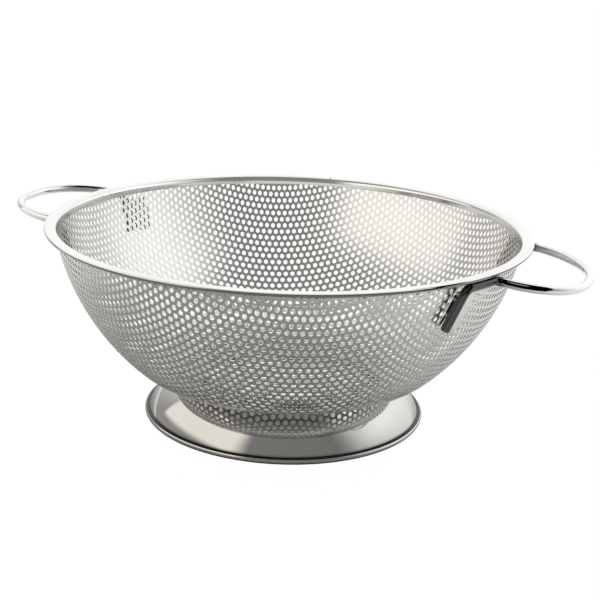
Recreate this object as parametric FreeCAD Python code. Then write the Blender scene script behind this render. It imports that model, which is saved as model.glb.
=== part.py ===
import FreeCAD, Part
import math
import os

# A footed stainless steel colander: a bowl of perforated sheet, a strip folded over its edge, a flared
# foot ring and two wire handles. Lengths are in millimetres and angles in degrees. The axis of the bowl
# is Z, the table is at zero height and the two handles point along plus and minus X.

# Bowl: a round wall, a turn at its lower end and a flat floor
wall_radius = 136.0
wall_center_height = 136.0
floor_height = 26.5
turn_radius = 33.0
sheet = 0.5

# Perforation: holes in staggered rows on the flat sheet, before it is drawn into a bowl
hole_pitch = 9.9
hole_diameter = 6.6
hole_row_angle = 25.4
hole_margin = 1.4

# Rim: a strip folded over the raw edge of the sheet, with a crowned top and a rolled outer edge
rim_radius = 140.0
rim_height = 115.0
rim_bead = 2.2
rim_strip = 0.6
rim_inner_leg = 5.4
rim_outer_leg = 3.2
rim_pressed_edge = 1.8
rim_corner = 1.0
rim_crown = 20.0
rim_clearance = 0.15
rim_seam_angle = 100.0
rim_seam = 1.0

# Foot: a spun ring with a bulged side, a flange under the bowl and a rolled bead on the table
foot_radius = 83.2
foot_top_radius = 59.5
foot_bulge = 2.4
foot_sheet = 0.7
foot_flange = 9.5
foot_bead = 3.4
foot_flat = 1.4

# Projection welds between the foot's flange and the floor of the bowl
foot_weld_count = 8
foot_weld_radius = 2.5
foot_weld_gap = 0.4

# Handles: one bent wire each, with two straight legs that lie against the wall. The legs of the right one
# are bent aside under the rim, and the legs of the left one go straight down.
wire_diameter = 5.0
leg_length = 24.5
right_leg_height = 98.5
right_leg_angle = 29.5
right_leg_tilt = 16.9
left_leg_height = 97.5
crossing_height = 109.3
crossing_angle = 17.0
bow_reach = 172.6
bow_corner = 36.6
leg_bend = 5.0
crossing_bend = 5.0
right_bow_rise = -7.6
left_bow_rise = 4.6

# Weld plates between the legs and the wall, and the weld nuggets that carry the legs. The right plates
# reach from the legs towards the middle of the handle, and the left ones away from it.
plate = 0.8
plate_width = 17.2
plate_length = 25.2
plate_offset = 6.1
plate_clearance = 0.2
nugget_height = 0.4
nugget_radius = 1.6
nugget_spacing = 9.0

# Cutting shapes run past what they cut by this much
overrun = 2.0

V = FreeCAD.Vector
ORIGIN = V(0, 0, 0)
UP = V(0, 0, 1)
FULL_TURN = 360

wall_center = V(0, 0, wall_center_height)
turn_rise = wall_center_height - floor_height - turn_radius
floor_radius = math.sqrt((wall_radius - turn_radius) ** 2 - turn_rise ** 2)
turn_angle = math.atan2(floor_radius, turn_rise)
inner_leg_bottom = rim_height - rim_inner_leg
outer_leg_bottom = rim_height - rim_outer_leg
plate_outside = wall_radius + plate_clearance + plate
wire_radius = wire_diameter / 2
leg_sphere = plate_outside + nugget_height + wire_radius
plate_top = crossing_height - wire_radius - nugget_height
right_legs = right_leg_angle, right_leg_tilt, right_leg_height
left_legs = crossing_angle, 0, left_leg_height


def radius_at(sphere, height):
    """Distance from the axis to a sphere about the wall's center, at a height."""
    return math.sqrt(sphere ** 2 - (wall_center_height - height) ** 2)


def on_sphere(sphere, angle, height):
    """Point of a sphere about the wall's center, at an angle about the axis and a height."""
    radius = radius_at(sphere, height)
    turn = math.radians(angle)
    return V(radius * math.cos(turn), radius * math.sin(turn), height)


def in_section(radius, height):
    """Point of a section through the axis."""
    return V(radius, 0, height)


def line(start, end):
    return Part.LineSegment(start, end).toShape()


def arc(start, middle, end):
    return Part.Arc(start, middle, end).toShape()


def arc_about(center, radius, start_angle, end_angle):
    """Arc of a section, with its angles in radians from straight down towards the rim."""
    def point(angle):
        return center + V(math.sin(angle), 0, -math.cos(angle)) * radius
    return arc(point(start_angle), point((start_angle + end_angle) / 2), point(end_angle))


def spun(edges, angle=FULL_TURN):
    """Solid that a closed section sweeps about the axis."""
    return Part.Face(Part.Wire(Part.__sortEdges__(edges))).revolve(ORIGIN, UP, angle)


def rim_centers():
    """Centers of the arcs of the rim's crown, rolled edge and inner corner, which run into each other."""
    edge = rim_bead / 2
    edge_radius = rim_radius - edge
    leg_radius = radius_at(wall_radius - sheet - rim_clearance, rim_height - rim_corner) - rim_strip
    corner_radius = leg_radius + rim_corner
    crown_radius = (edge_radius + corner_radius) / 2
    crown_height = rim_height - rim_crown
    half_span = edge_radius - crown_radius
    edge_height = crown_height + math.sqrt((rim_crown - edge) ** 2 - half_span ** 2)
    corner_height = crown_height + math.sqrt((rim_crown - rim_corner) ** 2 - half_span ** 2)
    return (in_section(crown_radius, crown_height), in_section(edge_radius, edge_height),
            in_section(corner_radius, corner_height))


crown_center, edge_center, corner_center = rim_centers()
rim_ceiling = edge_center.z + rim_bead / 2 - rim_strip
sheet_edge = rim_ceiling - rim_clearance


def bowl_blank():
    """The bowl before it is perforated, one sheet thick all over."""
    turn_center = in_section(floor_radius, floor_height + turn_radius)
    outer_edge = math.acos((wall_center_height - sheet_edge) / wall_radius)
    inner_edge = math.acos((wall_center_height - sheet_edge) / (wall_radius - sheet))
    outer_wall = arc_about(wall_center, wall_radius, turn_angle, outer_edge)
    inner_wall = arc_about(wall_center, wall_radius - sheet, turn_angle, inner_edge)
    outer_turn = arc_about(turn_center, turn_radius, 0, turn_angle)
    inner_turn = arc_about(turn_center, turn_radius - sheet, 0, turn_angle)
    below = in_section(0, floor_height)
    above = in_section(0, floor_height + sheet)
    return spun([
        line(below, in_section(floor_radius, floor_height)),
        outer_turn,
        outer_wall,
        line(in_section(radius_at(wall_radius, sheet_edge), sheet_edge),
             in_section(radius_at(wall_radius - sheet, sheet_edge), sheet_edge)),
        inner_wall,
        inner_turn,
        line(in_section(floor_radius, floor_height + sheet), above),
        line(above, below),
    ])


def outside_at(length):
    """Section point and slope of the bowl's outside, a length along the sheet from the axis."""
    if length < floor_radius:
        return length, floor_height, 0
    past_floor = length - floor_radius
    if past_floor < turn_radius * turn_angle:
        slope = past_floor / turn_radius
        center_radius, center_height, radius = floor_radius, floor_height + turn_radius, turn_radius
    else:
        slope = turn_angle + (past_floor - turn_radius * turn_angle) / wall_radius
        center_radius, center_height, radius = 0, wall_center_height, wall_radius
    return center_radius + radius * math.sin(slope), center_height - radius * math.cos(slope), slope


def hole_drill(length, angle):
    """Cylinder square to the sheet, for one hole."""
    radius, height, slope = outside_at(length)
    out = V(math.sin(slope) * math.cos(angle), math.sin(slope) * math.sin(angle), -math.cos(slope))
    start = V(radius * math.cos(angle), radius * math.sin(angle), height) + out * overrun
    return Part.makeCylinder(hole_diameter / 2, sheet + overrun + overrun, start, out * -1)


def hole_drills():
    """Drills for every hole that lies whole below the rim strip.

    The rows are laid out on the flat sheet. Drawing keeps the distance along the wall and closes the
    holes up around it.
    """
    wall_end = math.acos((wall_center_height - inner_leg_bottom) / wall_radius)
    last = floor_radius + turn_radius * turn_angle + wall_radius * (wall_end - turn_angle)
    last -= hole_diameter / 2 + hole_margin
    row_step = hole_pitch * math.sin(math.radians(FULL_TURN / 6))
    rows = math.ceil(last / row_step)
    columns = math.ceil(last / hole_pitch) + 1
    drills = []
    for row in range(-rows, rows + 1):
        stagger = hole_pitch / 2 * (row % 2)
        for column in range(-columns, columns + 1):
            across = column * hole_pitch + stagger
            length = math.hypot(across, row * row_step)
            if length < last:
                angle = math.atan2(row * row_step, across) + math.radians(hole_row_angle)
                drills.append(hole_drill(length, angle))
    return drills


def bowl():
    """Bowl of perforated sheet."""
    drills = hole_drills()
    print("holes in the bowl:", len(drills))
    return bowl_blank().cut(drills).Solids[0]


def on_crown(center, radius):
    """Point where a circle inside the crown's arc touches it."""
    return crown_center + (center - crown_center) * (rim_crown / (rim_crown - radius))


def rim_section():
    """Folded strip: a leg inside the sheet, the crowned top, the rolled edge and a leg outside the sheet."""
    inside = wall_radius - sheet - rim_clearance
    outside = wall_radius + rim_clearance
    edge = rim_bead / 2
    edge_bottom = edge_center.z - edge
    ledge = edge_bottom + rim_strip
    inner_foot = in_section(radius_at(inside, inner_leg_bottom), inner_leg_bottom)
    inner_top = in_section(radius_at(inside, rim_ceiling), rim_ceiling)
    outer_foot = in_section(radius_at(outside, outer_leg_bottom), outer_leg_bottom)
    outer_top = in_section(radius_at(outside, ledge), ledge)
    strip_across = V(rim_strip, 0, 0)
    pressed_height = inner_leg_bottom + rim_pressed_edge
    pressed = in_section(radius_at(inside, pressed_height), pressed_height) - strip_across
    pressed_foot = in_section(pressed.x, inner_leg_bottom)
    corner_low = corner_center - V(rim_corner, 0, 0)
    corner_high = on_crown(corner_center, rim_corner)
    corner_out = (corner_low + corner_high - corner_center * 2).normalize()
    ledge_inner = in_section(radius_at(outside, edge_bottom), edge_bottom) + strip_across
    edge_low = in_section(edge_center.x, edge_bottom)
    edge_high = on_crown(edge_center, edge)
    inner_edge_low = in_section(edge_center.x, ledge)
    inner_edge_high = in_section(edge_center.x, rim_ceiling)
    return [
        line(pressed_foot, pressed),
        line(pressed, corner_low),
        arc(corner_low, corner_center + corner_out * rim_corner, corner_high),
        arc(corner_high, in_section(crown_center.x, rim_height), edge_high),
        arc(edge_high, in_section(rim_radius, edge_center.z), edge_low),
        line(edge_low, ledge_inner),
        line(ledge_inner, outer_foot + strip_across),
        line(outer_foot + strip_across, outer_foot),
        line(outer_foot, outer_top),
        line(outer_top, inner_edge_low),
        arc(inner_edge_low, in_section(rim_radius - rim_strip, edge_center.z), inner_edge_high),
        line(inner_edge_high, inner_top),
        line(inner_top, inner_foot),
        line(inner_foot, pressed_foot),
    ]


def rim_band():
    """Rim strip, open by the width of its butt seam."""
    seam_turn = math.degrees(rim_seam / rim_radius)
    band = spun(rim_section(), FULL_TURN - seam_turn)
    band.rotate(ORIGIN, UP, rim_seam_angle + seam_turn / 2)
    return band


def rim_seam_weld():
    """Weld that closes the butt seam of the rim strip."""
    seam_turn = math.degrees(rim_seam / rim_radius)
    weld = spun(rim_section(), seam_turn)
    weld.rotate(ORIGIN, UP, rim_seam_angle - seam_turn / 2)
    return weld


def foot_ring():
    """Spun foot: flange, bulged side and a rolled bead with a narrow flat on the table."""
    flange_height = floor_height - foot_weld_gap
    bead_radius = foot_bead / 2
    bead_height = math.sqrt(bead_radius ** 2 - (foot_flat / 2) ** 2)
    bead_center = in_section(foot_radius - bead_radius, bead_height)
    low = bead_center
    high = in_section(foot_top_radius, flange_height)
    along = (high - low).normalize()
    bulge = V(along.z, 0, -along.x) * foot_bulge
    middle = (low + high) / 2 + bulge
    side = arc(low, middle, high)
    center = side.Curve.Center
    inward = (side.Curve.Radius - foot_sheet) / side.Curve.Radius
    inner_low = center + (low - center) * inward
    inner_middle = center + (middle - center) * inward
    inner_high = center + (high - center) * inward
    flange_edge = in_section(foot_top_radius - foot_flange, flange_height)
    flange_below = flange_edge - V(0, 0, foot_sheet)
    shell = spun([
        side,
        line(high, flange_edge),
        line(flange_edge, flange_below),
        line(flange_below, inner_high),
        arc(inner_high, inner_middle, inner_low),
        line(inner_low, low),
    ])
    bead = Part.makeTorus(foot_radius - bead_radius, bead_radius, V(0, 0, bead_height), UP)
    below_table = Part.makeCylinder(foot_radius + overrun, foot_bead, V(0, 0, -foot_bead), UP)
    return shell.fuse(bead).cut(below_table).Solids[0]


def foot_welds():
    """Ring of weld nuggets that holds the foot's flange to the floor of the bowl."""
    circle = foot_top_radius - foot_flange / 2
    low = floor_height - foot_weld_gap
    nugget = Part.makeCylinder(foot_weld_radius, foot_weld_gap, V(circle, 0, low), UP)
    nuggets = []
    for index in range(foot_weld_count):
        nuggets.append(nugget.rotated(ORIGIN, UP, FULL_TURN * index / foot_weld_count))
    return Part.makeCompound(nuggets)


def on_left(shape):
    """The same shape on the left side of the bowl."""
    return shape.rotated(ORIGIN, UP, FULL_TURN / 2)


def leg_frame(legs):
    """Middle of a handle's far leg, with the directions along it, across it and out of the wall."""
    angle, tilt, height = legs
    middle = on_sphere(leg_sphere, angle, height)
    out = (middle - wall_center).normalize()
    around = UP.cross(out).normalize()
    rising = out.cross(around)
    lean = math.radians(tilt)
    along = rising * math.cos(lean) - around * math.sin(lean)
    across = along.cross(out)
    return middle, along, across, out


def leg_ends(legs):
    """Lower and upper end of a handle's far leg."""
    middle, along, across, out = leg_frame(legs)
    return [middle - along * (leg_length / 2), middle + along * (leg_length / 2)]


def rounded_wire(points, bends):
    """Path through corner points, with an arc of the given radius at each inner corner."""
    edges = []
    start = points[0]
    for before, corner, after, bend in zip(points, points[1:], points[2:], bends):
        back = (before - corner).normalize()
        ahead = (after - corner).normalize()
        half = back.getAngle(ahead) / 2
        reach = bend / math.tan(half)
        to_center = (back + ahead).normalize()
        middle = corner + to_center * (bend / math.sin(half) - bend)
        arc_start = corner + back * reach
        arc_end = corner + ahead * reach
        edges.append(line(start, arc_start))
        edges.append(arc(arc_start, middle, arc_end))
        start = arc_end
    edges.append(line(start, points[-1]))
    return Part.Wire(edges)


def handle(far_side, far_bends, rise):
    """Wire handle on the right side, from the corners of its far leg up to where it passes under the rim."""
    crossing = far_side[-1]
    bow_height = crossing.z + (bow_reach - crossing.x) * math.tan(math.radians(rise))
    half_path = far_side + [V(bow_reach, crossing.y, bow_height)]
    other_half = [V(point.x, -point.y, point.z) for point in reversed(half_path)]
    half_bends = far_bends + [bow_corner]
    path = rounded_wire(half_path + other_half, half_bends + half_bends[::-1])
    section = Part.Wire(Part.Circle(half_path[0], half_path[1] - half_path[0], wire_radius).toShape())
    return path.makePipeShell([section], True, False)


def right_handle():
    """Right handle: the wire runs aside under the rim before it turns down into the leg."""
    crossing = on_sphere(leg_sphere, crossing_angle, crossing_height)
    return handle(leg_ends(right_legs) + [crossing], [leg_bend, crossing_bend], right_bow_rise)


def left_handle():
    """Left handle: the wire turns straight down into the leg."""
    return on_left(handle(leg_ends(left_legs), [crossing_bend], left_bow_rise))


def shell_between(inner, outer):
    """Space between two spheres about the wall's center."""
    return Part.makeSphere(outer, wall_center).cut(Part.makeSphere(inner, wall_center))


def leg_block(legs, shift, width, length):
    """Block along the far leg that reaches from inside the wall to the wire's center."""
    middle, along, across, out = leg_frame(legs)
    depth = leg_sphere - wall_radius + overrun
    corner = middle - out * depth + across * (shift - width / 2) - along * (length / 2)
    block = Part.makeBox(width, length, depth)
    turn = FreeCAD.Matrix(across.x, along.x, out.x, corner.x,
                          across.y, along.y, out.y, corner.y,
                          across.z, along.z, out.z, corner.z,
                          0, 0, 0, 1)
    return block.transformed(turn)


def mirrored_pair(shape):
    """A shape on the far leg and its mirror image on the near leg."""
    return Part.makeCompound([shape, shape.mirror(ORIGIN, V(0, 1, 0))])


def weld_plates(legs, shift):
    """Two thin plates, curved like the wall, that spread the load of the legs and end below the crossing."""
    curved = shell_between(wall_radius + plate_clearance, plate_outside)
    below_crossing = Part.makeCylinder(rim_radius, plate_top, ORIGIN, UP)
    blank = curved.common(leg_block(legs, shift, plate_width, plate_length))
    return mirrored_pair(blank.common(below_crossing).Solids[0])


def leg_nuggets(legs):
    """Weld nuggets between the straight legs and the curved plates, two to a leg."""
    middle, along, across, out = leg_frame(legs)
    leg = Part.makeCylinder(wire_radius, leg_length, middle - along * (leg_length / 2), along)
    under = Part.makeSphere(plate_outside, wall_center)
    nuggets = []
    for side in (-1, 1):
        foot = middle + along * (nugget_spacing / 2 * side) - out * (wire_radius + nugget_height + plate)
        post = Part.makeCylinder(nugget_radius, wire_radius + nugget_height + plate, foot, out)
        nugget = post.cut(leg).cut(under).Solids[0]
        nuggets.append(nugget)
        nuggets.append(nugget.mirror(ORIGIN, V(0, 1, 0)))
    return Part.makeCompound(nuggets)


def save(shape, node):
    shape.exportStep(os.path.join("parts", node + ".step"))
    print(node, "solids", len(shape.Solids), "valid", shape.isValid(), "volume", round(shape.Volume, 1))


os.makedirs("parts", exist_ok=True)
save(bowl(), "bowl")
save(rim_band(), "rim_band")
save(rim_seam_weld(), "rim_seam_weld")
save(foot_ring(), "foot_ring")
save(foot_welds(), "foot_welds")
save(right_handle(), "right_handle")
save(left_handle(), "left_handle")
save(weld_plates(right_legs, -plate_offset), "right_weld_plates")
save(on_left(weld_plates(left_legs, plate_offset)), "left_weld_plates")
save(leg_nuggets(right_legs), "right_leg_welds")
save(on_left(leg_nuggets(left_legs)), "left_leg_welds")
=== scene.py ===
import math

import bpy
import numpy as np
from mathutils import Matrix, Vector


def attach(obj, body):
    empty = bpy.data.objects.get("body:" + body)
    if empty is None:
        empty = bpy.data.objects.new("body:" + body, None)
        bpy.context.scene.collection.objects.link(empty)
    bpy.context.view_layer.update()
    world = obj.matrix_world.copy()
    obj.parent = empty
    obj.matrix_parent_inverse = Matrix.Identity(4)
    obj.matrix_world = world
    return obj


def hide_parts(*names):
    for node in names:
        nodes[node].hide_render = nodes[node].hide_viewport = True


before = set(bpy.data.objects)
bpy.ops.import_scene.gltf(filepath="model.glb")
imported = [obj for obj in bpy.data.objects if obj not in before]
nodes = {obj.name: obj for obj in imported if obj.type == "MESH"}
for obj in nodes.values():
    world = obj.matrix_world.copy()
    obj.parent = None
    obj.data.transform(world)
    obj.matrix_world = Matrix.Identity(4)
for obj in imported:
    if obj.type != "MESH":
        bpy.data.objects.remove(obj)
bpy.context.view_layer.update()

# Perforated bowl
# One sheet of stainless steel, punched all over in staggered rows and then drawn to a round wall with a
# flat floor. Drawing keeps the spacing along the wall and closes the holes up around it near the rim.
wall_radius = 0.136
wall_center_height = 0.136
floor_height = 0.0265
turn_radius = 0.033
sheet = 0.0005
sheet_edge_height = 0.1140
hole_pitch = 0.00495
hole_diameter = 0.0033
hole_row_angle = math.radians(25.4)
hole_offset = (-0.0016, 0.0011)
wall_split_length = 0.128

turn_rise = wall_center_height - floor_height - turn_radius
floor_radius = math.sqrt((wall_radius - turn_radius) ** 2 - turn_rise ** 2)
turn_angle = math.atan2(floor_radius, turn_rise)
turn_end = floor_radius + turn_radius * turn_angle
edge_angle = math.acos((wall_center_height - sheet_edge_height) / wall_radius)
edge_length = turn_end + wall_radius * (edge_angle - turn_angle)


def bowl_surface(length, angle, depth):
    """Point of the bowl at a length along its outside from the axis and an angle about the axis.

    The section is a flat floor, an arc of turn_radius and an arc of wall_radius about a point on the
    axis. The point lies depth inside the outer skin, square to it.
    """
    on_floor = length < floor_radius
    on_turn = (length >= floor_radius) & (length < turn_end)
    slope = np.where(on_turn, (length - floor_radius) / turn_radius,
                     turn_angle + (length - turn_end) / wall_radius)
    slope = np.where(on_floor, 0.0, slope)
    center_radius = np.where(on_floor, length, np.where(on_turn, floor_radius, 0.0))
    bend = np.where(on_turn | on_floor, turn_radius, wall_radius)
    center_height = np.where(on_turn | on_floor, floor_height + turn_radius, wall_center_height)
    radius = center_radius + (bend - depth) * np.sin(slope)
    height = center_height - (bend - depth) * np.cos(slope)
    return np.stack([radius * np.cos(angle), radius * np.sin(angle), height], -1)


def sheet_point(flat, depth):
    """Point of the drawn bowl for points of the flat sheet, which stops at the sheet's edge."""
    length = np.minimum(np.hypot(flat[:, 0], flat[:, 1]), edge_length)
    return bowl_surface(length, np.arctan2(flat[:, 1], flat[:, 0]), depth)


def hole_cells():
    """Row and column numbers of the cells of the flat sheet, and the two steps of their lattice."""
    step = hole_pitch * np.array([[math.cos(hole_row_angle), math.sin(hole_row_angle)],
                                  [math.cos(hole_row_angle + math.pi / 3),
                                   math.sin(hole_row_angle + math.pi / 3)]])
    reach = math.ceil(2 * edge_length / hole_pitch)
    numbers = np.arange(-reach, reach + 1)
    cells = np.stack(np.meshgrid(numbers, numbers, indexing="ij"), -1).reshape(-1, 2)
    middle = cells @ step + hole_offset
    inside = np.hypot(middle[:, 0], middle[:, 1]) < edge_length
    return cells[inside], step


def perforated_sheet(cells, step):
    """Vertices and faces of the sheet over some cells of the lattice.

    A cell is a hexagon with a round hole. Twelve quads join the hole to the hexagon on each skin, and
    twelve more line the hole. A cell whose hole would cross the sheet's edge stays whole. Edges that
    only one cell has get a wall between the skins.
    """
    around = np.array([[3, 0], [2, 2], [0, 3], [-2, 4], [-3, 3], [-4, 2],
                       [-3, 0], [-2, -2], [0, -3], [2, -4], [3, -3], [4, -2]])
    keys = 6 * cells[:, None, :] + around
    corner_keys, corner = np.unique(keys.reshape(-1, 2), axis=0, return_inverse=True)
    corner = corner.reshape(-1, 12)
    corner_flat = corner_keys / 6 @ step + hole_offset
    middle = cells @ step + hole_offset
    turn = hole_row_angle + np.arange(12) * math.pi / 6
    ring = hole_diameter / 2 * np.stack([np.cos(turn), np.sin(turn)], -1)
    holed = np.hypot(middle[:, 0], middle[:, 1]) + hole_diameter / 2 < edge_length
    rings = (middle[holed][:, None, :] + ring).reshape(-1, 2)
    flat = np.concatenate([corner_flat, rings, middle[~holed]])
    ring_number = len(corner_flat) + np.arange(len(rings)).reshape(-1, 12)
    center_number = len(corner_flat) + len(rings) + np.arange((~holed).sum())
    inner = len(flat)
    after = np.roll(np.arange(12), -1)
    rim, rim_next = corner[holed], corner[holed][:, after]
    hole, hole_next = ring_number, ring_number[:, after]
    skin = np.stack([rim, hole, hole_next, rim_next], -1).reshape(-1, 4)
    lining = np.stack([hole, hole + inner, hole_next + inner, hole_next], -1).reshape(-1, 4)
    whole, whole_next = corner[~holed], corner[~holed][:, after]
    center = np.broadcast_to(center_number[:, None], whole.shape)
    plain = np.stack([whole, center, whole_next], -1).reshape(-1, 3)
    sides = np.stack([corner, corner[:, after]], -1).reshape(-1, 2)
    _, first, count = np.unique(np.sort(sides, 1), axis=0, return_index=True, return_counts=True)
    start, end = sides[first[count == 1]].T
    border = np.stack([start, end, end + inner, start + inner], -1)
    points = np.concatenate([sheet_point(flat, 0.0), sheet_point(flat, sheet)])
    quads = np.concatenate([skin, skin[:, ::-1] + inner, lining, border])
    triangles = np.concatenate([plain, plain[:, ::-1] + inner])
    return points, quads, triangles


def add_piece(name, points, faces, sharp_angle=40):
    """Mesh object from an array of points and arrays of faces, smooth but for edges over an angle."""
    mesh = bpy.data.meshes.new(name)
    loops = np.concatenate([face.ravel() for face in faces])
    sizes = np.concatenate([np.full(len(face), face.shape[1]) for face in faces])
    mesh.vertices.add(len(points))
    mesh.vertices.foreach_set("co", points.astype(np.float32).ravel())
    mesh.loops.add(len(loops))
    mesh.loops.foreach_set("vertex_index", loops.astype(np.int32))
    mesh.polygons.add(len(sizes))
    mesh.polygons.foreach_set("loop_start", (np.cumsum(sizes) - sizes).astype(np.int32))
    mesh.update(calc_edges=True)
    mesh.validate()
    mesh.shade_smooth()
    mesh.set_sharp_from_angle(angle=math.radians(sharp_angle))
    piece = bpy.data.objects.new(name, mesh)
    bpy.context.scene.collection.objects.link(piece)
    return piece


def axis_distance(tree, where):
    """Distance of a place from the axis, and its height."""
    split = tree.nodes.new("ShaderNodeSeparateXYZ")
    flat = tree.nodes.new("ShaderNodeCombineXYZ")
    length = tree.nodes.new("ShaderNodeVectorMath")
    length.operation = "LENGTH"
    tree.links.new(where, split.inputs["Vector"])
    tree.links.new(split.outputs["X"], flat.inputs["X"])
    tree.links.new(split.outputs["Y"], flat.inputs["Y"])
    tree.links.new(flat.outputs["Vector"], length.inputs[0])
    return length.outputs["Value"], split.outputs["Z"]


def remap(tree, value, start, end, low=0.0, high=1.0, smooth=False):
    """Value carried from one range to another, and held at its ends."""
    node = tree.nodes.new("ShaderNodeMapRange")
    node.interpolation_type = "SMOOTHSTEP" if smooth else "LINEAR"
    node.inputs["From Min"].default_value = start
    node.inputs["From Max"].default_value = end
    node.inputs["To Min"].default_value = low
    node.inputs["To Max"].default_value = high
    tree.links.new(value, node.inputs["Value"])
    return node.outputs["Result"]


grain_detail = 6.0
grain_strength = 0.35
roughness_spread = 0.3
drift_scale = 18.0
drift_start = 0.3
drift_end = 0.7
drift_low_share = 0.92


def steel(name, color, roughness, grain_scale, grain_depth, spun=False):
    """Stainless steel: a metal whose roughness and bump follow a fine grain. Its tone drifts a little.

    The grain of a spun piece runs round the axis, so it is read at the distance from the axis and the
    height. Elsewhere it is read at the point itself.
    """
    material = bpy.data.materials.new(name)
    material.use_nodes = True
    tree = material.node_tree
    shader = tree.nodes["Principled BSDF"]
    shader.inputs["Metallic"].default_value = 1.0
    place = tree.nodes.new("ShaderNodeTexCoord").outputs["Object"]
    where = place
    if spun:
        distance, height = axis_distance(tree, place)
        ring = tree.nodes.new("ShaderNodeCombineXYZ")
        tree.links.new(distance, ring.inputs["X"])
        tree.links.new(height, ring.inputs["Y"])
        where = ring.outputs["Vector"]
    grain = tree.nodes.new("ShaderNodeTexNoise")
    grain.inputs["Scale"].default_value = grain_scale
    grain.inputs["Detail"].default_value = grain_detail
    tree.links.new(where, grain.inputs["Vector"])
    spread = remap(tree, grain.outputs["Fac"], 0.0, 1.0, roughness * (1 - roughness_spread),
                   roughness * (1 + roughness_spread))
    tree.links.new(spread, shader.inputs["Roughness"])
    bump = tree.nodes.new("ShaderNodeBump")
    bump.inputs["Strength"].default_value = grain_strength
    bump.inputs["Distance"].default_value = grain_depth
    tree.links.new(grain.outputs["Fac"], bump.inputs["Height"])
    tree.links.new(bump.outputs["Normal"], shader.inputs["Normal"])
    drift = tree.nodes.new("ShaderNodeTexNoise")
    drift.inputs["Scale"].default_value = drift_scale
    tree.links.new(place, drift.inputs["Vector"])
    tones = tree.nodes.new("ShaderNodeValToRGB")
    low, high = tones.color_ramp.elements
    low.position = drift_start
    low.color = [drift_low_share * part for part in color] + [1.0]
    high.position = drift_end
    high.color = list(color) + [1.0]
    tree.links.new(drift.outputs["Fac"], tones.inputs["Fac"])
    tree.links.new(tones.outputs["Color"], shader.inputs["Base Color"])
    return material


sheet_steel = steel("satin_sheet_steel", (0.66, 0.65, 0.62), 0.26, 900.0, 0.00002)
cells, lattice_step = hole_cells()
cell_middle = cells @ lattice_step + hole_offset
on_floor_side = np.hypot(cell_middle[:, 0], cell_middle[:, 1]) < wall_split_length
for name, chosen in (("perforated_bowl_floor", on_floor_side), ("perforated_bowl_wall", ~on_floor_side)):
    points, quads, triangles = perforated_sheet(cells[chosen], lattice_step)
    sides = [quads, triangles] if len(triangles) else [quads]
    bowl_piece = add_piece(name, points, sides)
    bowl_piece.data.materials.append(sheet_steel)
    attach(bowl_piece, "root")
    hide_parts("bowl")

# Rim strip
# A plain strip of stainless steel, folded over the raw edge of the sheet and rolled out to a flattened
# bead. Its two legs grip the sheet, and its ends meet in a butt seam at the back.
rim_radius = 0.140
rim_height = 0.115
rim_bead = 0.0022
rim_strip = 0.0006
rim_inner_leg = 0.0054
rim_outer_leg = 0.0032
rim_pressed_edge = 0.0018
rim_corner = 0.0026
rim_crown = 0.020
rim_clearance = 0.00015
rim_edge_steps = 24
rim_crown_steps = 16
rim_corner_steps = 10
rim_inside_steps = 12
rim_shade_line_start = rim_radius - 0.00018
rim_shade_line_end = rim_radius - 0.00010
rim_shade_line_tone = 0.25


def arc_points(center, radius, start, end, count):
    """Points of an arc in a section, from one angle to another, as an array of radius and height."""
    angle = np.linspace(start, end, count)
    return np.stack([center[0] + radius * np.cos(angle), center[1] + radius * np.sin(angle)], -1)


def spun_piece(name, section, turns=288):
    """Closed section of radius and height carried round the axis, one quad per section side and step."""
    angle = np.linspace(0, 2 * math.pi, turns, endpoint=False)
    radius, height = section[:, 0], section[:, 1]
    points = np.stack([np.outer(np.cos(angle), radius), np.outer(np.sin(angle), radius),
                       np.broadcast_to(height, (turns, len(section)))], -1).reshape(-1, 3)
    number = np.arange(turns * len(section)).reshape(turns, len(section))
    ahead = np.roll(number, -1, 0)
    quads = np.stack([number, ahead, np.roll(ahead, -1, 1), np.roll(number, -1, 1)], -1).reshape(-1, 4)
    return add_piece(name, points, [quads])


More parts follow.
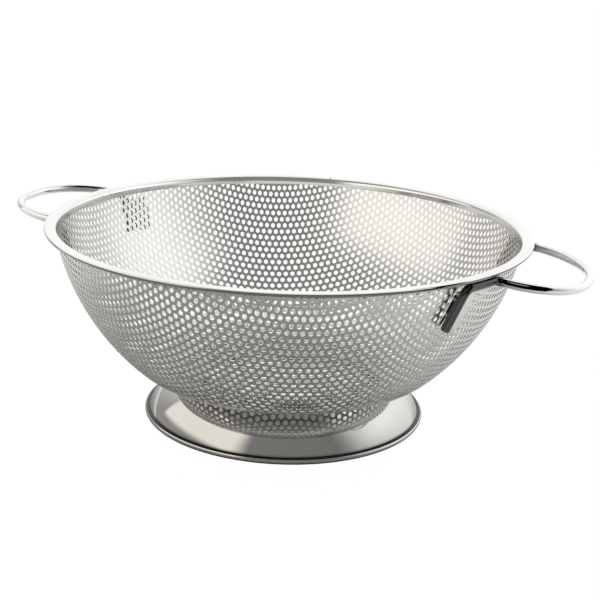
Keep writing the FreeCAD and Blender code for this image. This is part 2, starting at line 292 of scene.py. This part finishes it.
def rim_section():
    """Folded strip in section, anticlockwise from the outer leg.

    The top is an arc of rim_crown about a point below its middle. The rolled edge and the inner corner
    are circles that touch this arc from inside, so their centers lie rim_crown less their radius from
    its center.
    """
    def wall_at(radius, height):
        return math.sqrt(radius ** 2 - (wall_center_height - height) ** 2)
    inside = wall_radius - sheet - rim_clearance
    outside = wall_radius + rim_clearance
    edge = rim_bead / 2
    edge_radius = rim_radius - edge
    corner_radius = wall_at(inside, rim_height - rim_corner) - rim_strip + rim_corner
    crown = np.array([(edge_radius + corner_radius) / 2, rim_height - rim_crown])
    half_span = edge_radius - crown[0]
    rolled = (edge_radius, crown[1] + math.sqrt((rim_crown - edge) ** 2 - half_span ** 2))
    corner = (corner_radius, crown[1] + math.sqrt((rim_crown - rim_corner) ** 2 - half_span ** 2))
    quarter = math.pi / 2
    lean = math.asin(half_span / (rim_crown - edge))
    corner_lean = math.asin(half_span / (rim_crown - rim_corner))
    bottom = rolled[1] - edge
    ledge = bottom + rim_strip
    ceiling = rolled[1] + edge - rim_strip
    outer_foot = rim_height - rim_outer_leg
    inner_foot = rim_height - rim_inner_leg
    pressed_height = inner_foot + rim_pressed_edge
    pressed = wall_at(inside, pressed_height) - rim_strip
    return np.concatenate([
        [[wall_at(outside, outer_foot), outer_foot],
         [wall_at(outside, outer_foot) + rim_strip, outer_foot],
         [wall_at(outside, bottom) + rim_strip, bottom]],
        arc_points(rolled, edge, -quarter, quarter - lean, rim_edge_steps),
        arc_points(crown, rim_crown, quarter - lean, quarter + corner_lean, rim_crown_steps)[1:-1],
        arc_points(corner, rim_corner, quarter + corner_lean, 2 * quarter, rim_corner_steps),
        [[pressed, pressed_height],
         [pressed, inner_foot],
         [wall_at(inside, inner_foot), inner_foot],
         [wall_at(inside, ceiling - rim_strip), ceiling - rim_strip],
         [wall_at(inside, ceiling) + rim_strip, ceiling]],
        arc_points(rolled, edge - rim_strip, quarter, -quarter, rim_inside_steps),
        [[wall_at(outside, ledge), ledge]],
    ])


def object_place(material):
    """Place on the piece that a material is read at."""
    return material.node_tree.nodes["Texture Coordinate"].outputs["Object"]


def paint_shade(material, tone):
    """Multiplies the colour of a steel by a tone that varies over the piece, to paint shade into it."""
    tree = material.node_tree
    color = tree.nodes["Principled BSDF"].inputs["Base Color"]
    mix = tree.nodes.new("ShaderNodeMix")
    mix.data_type = "RGBA"
    mix.blend_type = "MULTIPLY"
    mix.inputs[0].default_value = 1.0
    tree.links.new(color.links[0].from_socket, mix.inputs[6])
    tree.links.new(tone, mix.inputs[7])
    tree.links.new(mix.outputs[2], color)


rim_steel = steel("polished_rim_steel", (0.74, 0.735, 0.72), 0.09, 2600.0, 0.000004, spun=True)
rim_tree = rim_steel.node_tree
rim_reach, _ = axis_distance(rim_tree, object_place(rim_steel))
# Painted shade: the steel is darkened round the outermost edge of the rolled bead, a painted shadow line
# for the gap under the rolled edge.
paint_shade(rim_steel, remap(rim_tree, rim_reach, rim_shade_line_start, rim_shade_line_end, 1.0, rim_shade_line_tone))
rim_piece = spun_piece("rim_strip", rim_section())
rim_piece.data.materials.append(rim_steel)
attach(rim_piece, "root")
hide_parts("rim_band")

# Rim seam weld
# The thin weld that closes the butt seam of the rim strip, ground almost flush.
weld_steel = steel("dull_weld_metal", (0.5, 0.49, 0.47), 0.45, 1800.0, 0.00003)
nodes["rim_seam_weld"].data.materials.clear()
nodes["rim_seam_weld"].data.materials.append(weld_steel)

# Foot ring
# Spun from one disc of stainless steel and mirror polished. Its flange is projection welded under the
# floor of the bowl, its side bulges out, and its lower edge is rolled to a bead that stands on the table.
foot_radius = 0.0832
foot_top_radius = 0.0595
foot_bulge = 0.0024
foot_sheet = 0.0007
foot_flange = 0.0095
foot_bead = 0.0034
foot_flat = 0.0014
foot_weld_gap = 0.0004
foot_bead_steps = 22
foot_side_steps = 48
foot_inside_steps = 40
foot_bead_inside_steps = 12
foot_shade_reach = 0.005
foot_shade_stops = [(0.0, 0.2), (0.0009, 0.25), (0.0013, 1.0), (0.0028, 1.0), (0.00295, 0.03), (0.0033, 0.03),
              (0.0037, 0.6), (0.0046, 1.0)]


def foot_section():
    """Foot in section, anticlockwise: bead, bulged side, flange and the inside of the side."""
    bead_radius = foot_bead / 2
    bead = np.array([foot_radius - bead_radius, math.sqrt(bead_radius ** 2 - (foot_flat / 2) ** 2)])
    high = np.array([foot_top_radius, floor_height - foot_weld_gap])
    chord = high - bead
    half_chord = np.hypot(*chord) / 2
    along = chord / (2 * half_chord)
    inward = np.array([-along[1], along[0]])
    bend = (half_chord ** 2 + foot_bulge ** 2) / (2 * foot_bulge)
    center = (bead + high) / 2 + inward * (bend - foot_bulge)
    start = math.atan2(*(bead - center)[::-1])
    end = math.atan2(*(high - center)[::-1])
    leave = start + 2 * math.asin(bead_radius / (2 * bend))
    leave_inside = start + 2 * math.asin(bead_radius / (2 * (bend - foot_sheet)))
    outer = arc_points(center, bend, leave, end, foot_side_steps)
    inner = arc_points(center, bend - foot_sheet, end, leave_inside, foot_inside_steps)
    flat_angle = math.asin(foot_flat / (2 * bead_radius))
    from_outer = math.atan2(*(outer[0] - bead)[::-1])
    to_inner = math.atan2(*(inner[-1] - bead)[::-1])
    bead_outside = arc_points(bead, bead_radius, flat_angle - math.pi / 2, from_outer, foot_bead_steps)
    bead_inside = arc_points(bead, bead_radius, to_inner, 3 * math.pi / 2 - flat_angle,
                             foot_bead_inside_steps)
    edge = foot_top_radius - foot_flange
    flange = np.array([[edge, high[1]], [edge, high[1] - foot_sheet]])
    return np.concatenate([bead_outside[:-1], outer, flange, inner, bead_inside[1:]])


def arithmetic(tree, operation, *values):
    """Result of an operation on values that are sockets or numbers."""
    node = tree.nodes.new("ShaderNodeMath")
    node.operation = operation
    for slot, value in zip(node.inputs, values):
        if isinstance(value, bpy.types.NodeSocket):
            tree.links.new(value, slot)
        else:
            slot.default_value = value
    return node.outputs["Value"]


def tone_ramp(tree, value, stops):
    """Grey tone that a value from 0 to 1 picks from stops of position and tone."""
    ramp = tree.nodes.new("ShaderNodeValToRGB")
    for position, tone in stops[1:-1]:
        ramp.color_ramp.elements.new(position)
    for element, (position, tone) in zip(ramp.color_ramp.elements, stops):
        element.position = position
        element.color = (tone, tone, tone, 1.0)
    tree.links.new(value, ramp.inputs["Fac"])
    return ramp.outputs["Color"]


foot_steel = steel("mirror_foot_steel", (0.56, 0.55, 0.525), 0.045, 3200.0, 0.000002, spun=True)
foot_tree = foot_steel.node_tree
_, foot_height = axis_distance(foot_tree, object_place(foot_steel))
# Painted shade: by height, the steel is darkened to a black line in the crease where the side meets the
# bead, and darkened at the bottom of the bead where it stands on the floor.
foot_lift = arithmetic(foot_tree, "DIVIDE", foot_height, foot_shade_reach)
foot_shade_shares = [(height / foot_shade_reach, tone) for height, tone in foot_shade_stops]
paint_shade(foot_steel, tone_ramp(foot_tree, foot_lift, foot_shade_shares))
foot_piece = spun_piece("foot_ring_polished", foot_section())
foot_piece.data.materials.append(foot_steel)
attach(foot_piece, "root")
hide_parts("foot_ring")

# Foot welds
# Projection welds between the flange of the foot and the floor of the bowl, hidden from most sides.
nodes["foot_welds"].data.materials.clear()
nodes["foot_welds"].data.materials.append(weld_steel)

# Weld plates
# Thin plain plates of stainless steel, curved like the wall, that spread the load of the handle legs
# over the perforated sheet. They are spot welded to the wall beside and under each leg.
plate_steel = steel("satin_plate_steel", (0.68, 0.67, 0.64), 0.14, 1200.0, 0.00001)
for name in ("right_weld_plates", "left_weld_plates"):
    nodes[name].data.materials.clear()
    nodes[name].data.materials.append(plate_steel)

# Leg welds
# Nuggets of weld metal between the straight legs of the handles and the curved plates.
for name in ("right_leg_welds", "left_leg_welds"):
    nodes[name].data.materials.clear()
    nodes[name].data.materials.append(weld_steel)

# Handles
# Each is one bent wire of polished stainless steel: two straight legs on the weld plates, a crossing
# close under the rim and a round bow to grip. The right legs are bent aside, the left ones are straight.
wire_radius = 0.0025
plate_gap = 0.0002
plate_thickness = 0.0008
nugget_height = 0.0004
leg_sphere = wall_radius + plate_gap + plate_thickness + nugget_height + wire_radius
leg_length = 0.0245
right_leg_height = 0.0985
right_leg_angle = math.radians(29.5)
right_leg_tilt = math.radians(16.9)
left_leg_height = 0.0975
leg_bend = 0.005
crossing_height = 0.1093
crossing_angle = math.radians(17.0)
crossing_bend = 0.005
bow_reach = 0.1726
bow_corner = 0.0366
right_bow_rise = math.radians(-7.6)
left_bow_rise = math.radians(4.6)
arc_steps_per_radian = 40
least_arc_steps = 8
section_guide = (0.55, 0.6, 0.58)
painted_leg_reflection_start = 0.1395
painted_leg_reflection_end = 0.1440
painted_leg_reflection_tone = 0.1


def on_leg_sphere(angle, height):
    """Point at an angle about the axis and a height, on the sphere that the wire's center touches."""
    radius = math.sqrt(leg_sphere ** 2 - (wall_center_height - height) ** 2)
    return np.array([radius * math.cos(angle), radius * math.sin(angle), height])


def unit(vector):
    """Vector of length one."""
    return vector / np.linalg.norm(vector)


def leg_ends(angle, tilt, height):
    """Lower and upper end of a far leg, which touches the leg sphere at its middle."""
    middle = on_leg_sphere(angle, height)
    out = unit(middle - (0, 0, wall_center_height))
    around = unit(np.cross((0, 0, 1), out))
    along = np.cross(out, around) * math.cos(tilt) - around * math.sin(tilt)
    return [middle - along * leg_length / 2, middle + along * leg_length / 2]


def handle_path(far_side, far_bends, rise):
    """Center line of a handle on the right, from the corners of its far leg round to the near leg."""
    crossing = far_side[-1]
    bow_height = crossing[2] + (bow_reach - crossing[0]) * math.tan(rise)
    half = np.array(far_side + [(bow_reach, crossing[1], bow_height)])
    bends = far_bends + [bow_corner]
    return rounded_path(np.concatenate([half, half[::-1] * (1, -1, 1)]), bends + bends[::-1])


def rounded_path(corners, bends):
    """Center line of the wire: straight runs, with an arc of its own radius at each corner."""
    path = [corners[:1]]
    for before, corner, after, bend in zip(corners, corners[1:], corners[2:], bends):
        back, ahead = unit(before - corner), unit(after - corner)
        half = math.acos(back @ ahead) / 2
        bisector = unit(back + ahead)
        center = corner + bisector * bend / math.sin(half)
        sweep = math.pi / 2 - half
        steps = max(least_arc_steps, round(sweep * arc_steps_per_radian))
        turn = np.linspace(-sweep, sweep, steps)
        path.append(center - bend * np.outer(np.cos(turn), bisector)
                    + bend * np.outer(np.sin(turn), unit(ahead - back)))
    path.append(corners[-1:])
    return np.concatenate(path)


def wire_piece(name, path, radius, sides=28, edge_round=0.0004):
    """Round section carried along a path, drawn in at both ends and closed by a fan to the end's middle.

    The guide is a direction that the path never follows. It gives each section its two axes.
    """
    tangent = np.gradient(path, axis=0)
    tangent /= np.linalg.norm(tangent, axis=1)[:, None]
    first = np.cross(tangent, unit(np.array(section_guide)))
    first /= np.linalg.norm(first, axis=1)[:, None]
    second = np.cross(tangent, first)
    low, high = path[0], path[-1]
    line = np.concatenate([[low, low + tangent[0] * edge_round], path[1:-1],
                           [high - tangent[-1] * edge_round, high]])
    radii = np.full(len(line), radius)
    radii[[0, -1]] = radius - edge_round
    first = np.concatenate([first[:1], first[:1], first[1:-1], first[-1:], first[-1:]])
    second = np.concatenate([second[:1], second[:1], second[1:-1], second[-1:], second[-1:]])
    turn = np.linspace(0, 2 * math.pi, sides, endpoint=False)
    rings = (line[:, None, :] + radii[:, None, None] * (
        np.cos(turn)[None, :, None] * first[:, None, :] + np.sin(turn)[None, :, None] * second[:, None, :]))
    number = np.arange(len(line) * sides).reshape(len(line), sides)
    beside = np.roll(number, -1, 1)
    quads = np.stack([number[:-1], beside[:-1], beside[1:], number[1:]], -1).reshape(-1, 4)
    points = np.concatenate([rings.reshape(-1, 3), line[[0, -1]]])
    start, end = len(points) - 2, len(points) - 1
    caps = np.concatenate([np.stack([beside[0], number[0], np.full(sides, start)], -1),
                           np.stack([number[-1], beside[-1], np.full(sides, end)], -1)])
    return add_piece(name, points, [quads, caps])


wire_steel = steel("polished_handle_wire", (0.72, 0.715, 0.70), 0.07, 2200.0, 0.000004)
wire_tree = wire_steel.node_tree
wire_reach, _ = axis_distance(wire_tree, object_place(wire_steel))
# Painted reflection: near the wall, on the legs and the crossing, the wire's colour falls to a tenth,
# standing in for the dark that they mirror.
painted_leg_reflection = remap(wire_tree, wire_reach, painted_leg_reflection_start, painted_leg_reflection_end, painted_leg_reflection_tone, smooth=True)
paint_shade(wire_steel, painted_leg_reflection)
right_path = handle_path(leg_ends(right_leg_angle, right_leg_tilt, right_leg_height)
                         + [on_leg_sphere(crossing_angle, crossing_height)],
                         [leg_bend, crossing_bend], right_bow_rise)
left_path = handle_path(leg_ends(crossing_angle, 0.0, left_leg_height), [crossing_bend], left_bow_rise)
for side, path in (("right", right_path), ("left", left_path * (-1, -1, 1))):
    handle_piece = wire_piece(side + "_wire_handle", path, wire_radius)
    handle_piece.data.materials.append(wire_steel)
    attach(handle_piece, "root")
    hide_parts(side + "_handle")

# Floor
# A plain white floor. The camera sees it white with a faint shadow. The steel mirrors it white from
# farther off. Close by, that glow fades out round a painted shadow, so there the steel mirrors the floor's
# own shading in the bowl's shadow.
floor_size = 30.0
floor_tone = 0.5
floor_roughness = 0.9
floor_glow_strength = 1.08
floor_glow_share = 0.9
floor_mirror_start = 0.11
floor_mirror_end = 0.38
shadow_middle = (-0.03, -0.15, 0.0)


def mixed_surface(material, share, first, second):
    """Gives a material the mix of two shaders by a share from 0 to 1."""
    tree = material.node_tree
    mix = tree.nodes.new("ShaderNodeMixShader")
    tree.links.new(share, mix.inputs["Fac"])
    tree.links.new(first, mix.inputs[1])
    tree.links.new(second, mix.inputs[2])
    tree.links.new(mix.outputs["Shader"], tree.nodes["Material Output"].inputs["Surface"])


def plain_piece(name, points, faces, material):
    """Mesh object from a few points and faces."""
    mesh = bpy.data.meshes.new(name)
    mesh.from_pydata([tuple(point) for point in points], [], faces)
    mesh.materials.append(material)
    piece = bpy.data.objects.new(name, mesh)
    bpy.context.scene.collection.objects.link(piece)
    return piece


floor_material = bpy.data.materials.new("white_floor")
floor_material.use_nodes = True
floor_tree = floor_material.node_tree
floor_paint = floor_tree.nodes["Principled BSDF"]
floor_paint.inputs["Base Color"].default_value = (floor_tone, floor_tone, floor_tone, 1)
floor_paint.inputs["Roughness"].default_value = floor_roughness
floor_glow = floor_tree.nodes.new("ShaderNodeEmission")
floor_glow.inputs["Strength"].default_value = floor_glow_strength
floor_rays = floor_tree.nodes.new("ShaderNodeLightPath")
floor_reach = floor_tree.nodes.new("ShaderNodeVectorMath")
floor_reach.operation = "DISTANCE"
floor_reach.inputs[1].default_value = shadow_middle
floor_place = floor_tree.nodes.new("ShaderNodeTexCoord").outputs["Object"]
floor_tree.links.new(floor_place, floor_reach.inputs[0])
floor_fade = remap(floor_tree, floor_reach.outputs["Value"], floor_mirror_start, floor_mirror_end,
                   smooth=True)
floor_mirrored = arithmetic(floor_tree, "MULTIPLY", floor_fade, floor_rays.outputs["Is Glossy Ray"])
floor_seen = arithmetic(floor_tree, "MAXIMUM", floor_rays.outputs["Is Camera Ray"], floor_mirrored)
floor_share = arithmetic(floor_tree, "MULTIPLY", floor_seen, floor_glow_share)
mixed_surface(floor_material, floor_share, floor_paint.outputs["BSDF"], floor_glow.outputs["Emission"])
floor_corners = [(-floor_size, -floor_size, 0), (floor_size, -floor_size, 0),
                 (floor_size, floor_size, 0), (-floor_size, floor_size, 0)]
floor = plain_piece("floor", floor_corners, [(0, 1, 2, 3)], floor_material)

# Studio
# White surroundings, dim on the camera's side, with a warm soft panel on the left and a white one on the
# right. A dark card before the right handle and one over the left darken what they mirror. The camera
# itself sees white.
camera_azimuth = math.radians(21.4)
toward_camera = Vector((math.sin(camera_azimuth), -math.cos(camera_azimuth), 0.0))
rightward = Vector((math.cos(camera_azimuth), math.sin(camera_azimuth), 0.0))
white = (1.0, 1.0, 1.0, 1.0)
warm_white = (1.0, 0.965, 0.90, 1.0)
tone_stops = [(-180, 0.95), (-168, 0.85), (-150, 0.5), (-110, 0.45), (-60, 0.32), (-12, 0.3), (40, 0.28),
              (62, 0.24), (85, 0.5), (110, 1.0), (130, 1.15), (155, 1.15), (170, 0.97), (180, 0.95)]
overhead_tone = (1.25, 1.25, 1.25, 1.0)
overhead_height = math.radians(45)
overhead_reach = math.radians(60)
overhead_full = math.radians(25)
world = bpy.data.worlds.new("studio")
bpy.context.scene.world = world
world.use_nodes = True
world_tree = world.node_tree
direction = world_tree.nodes.new("ShaderNodeTexCoord").outputs["Generated"]


def direction_part(axis):
    """Share of the looking direction along an axis."""
    dot = world_tree.nodes.new("ShaderNodeVectorMath")
    dot.operation = "DOT_PRODUCT"
    dot.inputs[1].default_value = axis
    world_tree.links.new(direction, dot.inputs[0])
    return dot.outputs["Value"]


def blend(share, low, high):
    """Mix of two tones by a share from 0 to 1."""
    node = world_tree.nodes.new("ShaderNodeMix")
    node.data_type = "RGBA"
    world_tree.links.new(share, node.inputs[0])
    world_tree.links.new(low, node.inputs[6])
    node.inputs[7].default_value = high
    return node.outputs[2]


around = arithmetic(world_tree, "ARCTAN2", direction_part(rightward), direction_part(toward_camera))
turn_share = remap(world_tree, around, -math.pi, math.pi)
side_tones = tone_ramp(world_tree, turn_share, [((angle + 180) / 360, tone) for angle, tone in tone_stops])
overhead_middle = Vector((0, 0, math.sin(overhead_height))) - toward_camera * math.cos(overhead_height)
overhead = remap(world_tree, direction_part(overhead_middle), math.cos(overhead_reach),
                 math.cos(overhead_full), smooth=True)
studio = blend(overhead, side_tones, overhead_tone)
camera_rays = world_tree.nodes.new("ShaderNodeLightPath").outputs["Is Camera Ray"]
world_tree.links.new(blend(camera_rays, studio, white), world_tree.nodes["Background"].inputs["Color"])
world_tree.nodes["Background"].inputs["Strength"].default_value = 1.0


def glowing_material(name, color, strength):
    """Material without its usual shader, and the outputs of a clear shader and a glowing one in it."""
    material = bpy.data.materials.new(name)
    material.use_nodes = True
    tree = material.node_tree
    tree.nodes.remove(tree.nodes["Principled BSDF"])
    clear = tree.nodes.new("ShaderNodeBsdfTransparent")
    glow = tree.nodes.new("ShaderNodeEmission")
    glow.inputs["Color"].default_value = color
    glow.inputs["Strength"].default_value = strength
    return material, clear.outputs["BSDF"], glow.outputs["Emission"]


def soft_panel(name, front, rear, low, high, color, strength, full_share):
    """Upright glowing panel between two places on the floor, given to the right of the axis and towards
    the camera. Its glow is full over a share of its width and height and fades out towards the edges.
    """
    material, clear, glow = glowing_material(name, color, strength)
    tree = material.node_tree
    split = tree.nodes.new("ShaderNodeSeparateXYZ")
    tree.links.new(tree.nodes.new("ShaderNodeUVMap").outputs["UV"], split.inputs["Vector"])
    fades = []
    for axis in ("X", "Y"):
        off_middle = arithmetic(tree, "SUBTRACT", split.outputs[axis], 0.5)
        reach = arithmetic(tree, "ABSOLUTE", off_middle)
        fades.append(remap(tree, reach, 0.5, full_share / 2, smooth=True))
    mixed_surface(material, arithmetic(tree, "MULTIPLY", *fades), clear, glow)
    ends = [rightward * place[0] + toward_camera * place[1] for place in (front, rear)]
    corners = [ends[0] + Vector((0, 0, low)), ends[1] + Vector((0, 0, low)),
               ends[1] + Vector((0, 0, high)), ends[0] + Vector((0, 0, high))]
    panel = plain_piece(name, corners, [(0, 1, 2, 3)], material)
    panel.data.uv_layers.new(name="panel").data.foreach_set("uv", [0, 0, 1, 0, 1, 1, 0, 1])
    panel.visible_camera = False


soft_panel("left_soft_panel", front=(-0.17, 0.355), rear=(-0.64, -0.36), low=0.10, high=0.44,
           color=warm_white, strength=1.4, full_share=0.72)
soft_panel("right_soft_panel", front=(0.28, 0.31), rear=(0.50, -1.00), low=0.0, high=0.60,
           color=white, strength=1.42, full_share=0.45)


def dark_card(name, nearest, farthest, rows):
    """Black card of several rows, seen only by mirror rays that come from between two distances.

    Each row gives its left and right end, its place towards the camera and its height.
    """
    material, clear, black = glowing_material(name, white, 0.0)
    tree = material.node_tree
    ray_length = tree.nodes.new("ShaderNodeLightPath").outputs["Ray Length"]
    near = arithmetic(tree, "COMPARE", ray_length, (nearest + farthest) / 2, (farthest - nearest) / 2)
    mixed_surface(material, near, clear, black)
    points = [rightward * across + toward_camera * ahead + Vector((0, 0, height))
              for left_end, right_end, ahead, height in rows for across in (left_end, right_end)]
    faces = [(2 * row, 2 * row + 1, 2 * row + 3, 2 * row + 2) for row in range(len(rows) - 1)]
    card = plain_piece(name, points, faces, material)
    card.visible_camera = False
    card.visible_diffuse = False
    card.visible_shadow = False


dark_card("right_dark_card", nearest=0.055, farthest=0.11,
          rows=[(0.074, 0.168, 0.150, 0.078), (0.074, 0.200, 0.150, 0.130), (0.092, 0.175, 0.075, 0.190)])
dark_card("left_dark_card", nearest=0.155, farthest=0.185,
          rows=[(-0.150, -0.050, 0.033, 0.228), (-0.150, -0.050, -0.042, 0.274),
                (-0.150, -0.050, -0.135, 0.274)])

# Camera
# At the photograph's viewing angle: a long lens a little above the rim, rolled slightly to the left.
camera_distance = 0.70456
camera_height = 0.28797
camera_pitch = 0.3020
camera_yaw = 0.0107
camera_roll = -0.0377
lens_pixels = 1250.0
image_pixels = 600.0
sensor_width = 36.0

heading = camera_yaw - camera_azimuth
forward = Vector((math.sin(heading) * math.cos(camera_pitch), math.cos(heading) * math.cos(camera_pitch),
                  -math.sin(camera_pitch)))
level_right = Vector((math.cos(heading), -math.sin(heading), 0.0))
level_down = forward.cross(level_right)
right = level_right * math.cos(camera_roll) + level_down * math.sin(camera_roll)
down = level_down * math.cos(camera_roll) - level_right * math.sin(camera_roll)
camera_data = bpy.data.cameras.new("camera")
camera_data.sensor_fit = "HORIZONTAL"
camera_data.sensor_width = sensor_width
camera_data.lens = lens_pixels * sensor_width / image_pixels
camera = bpy.data.objects.new("camera", camera_data)
bpy.context.scene.collection.objects.link(camera)
turn_matrix = Matrix((right, -down, -forward)).transposed().to_4x4()
eye = toward_camera * camera_distance + Vector((0, 0, camera_height))
camera.matrix_world = Matrix.Translation(eye) @ turn_matrix
bpy.context.scene.camera = camera
bpy.context.scene.view_settings.view_transform = "Standard"
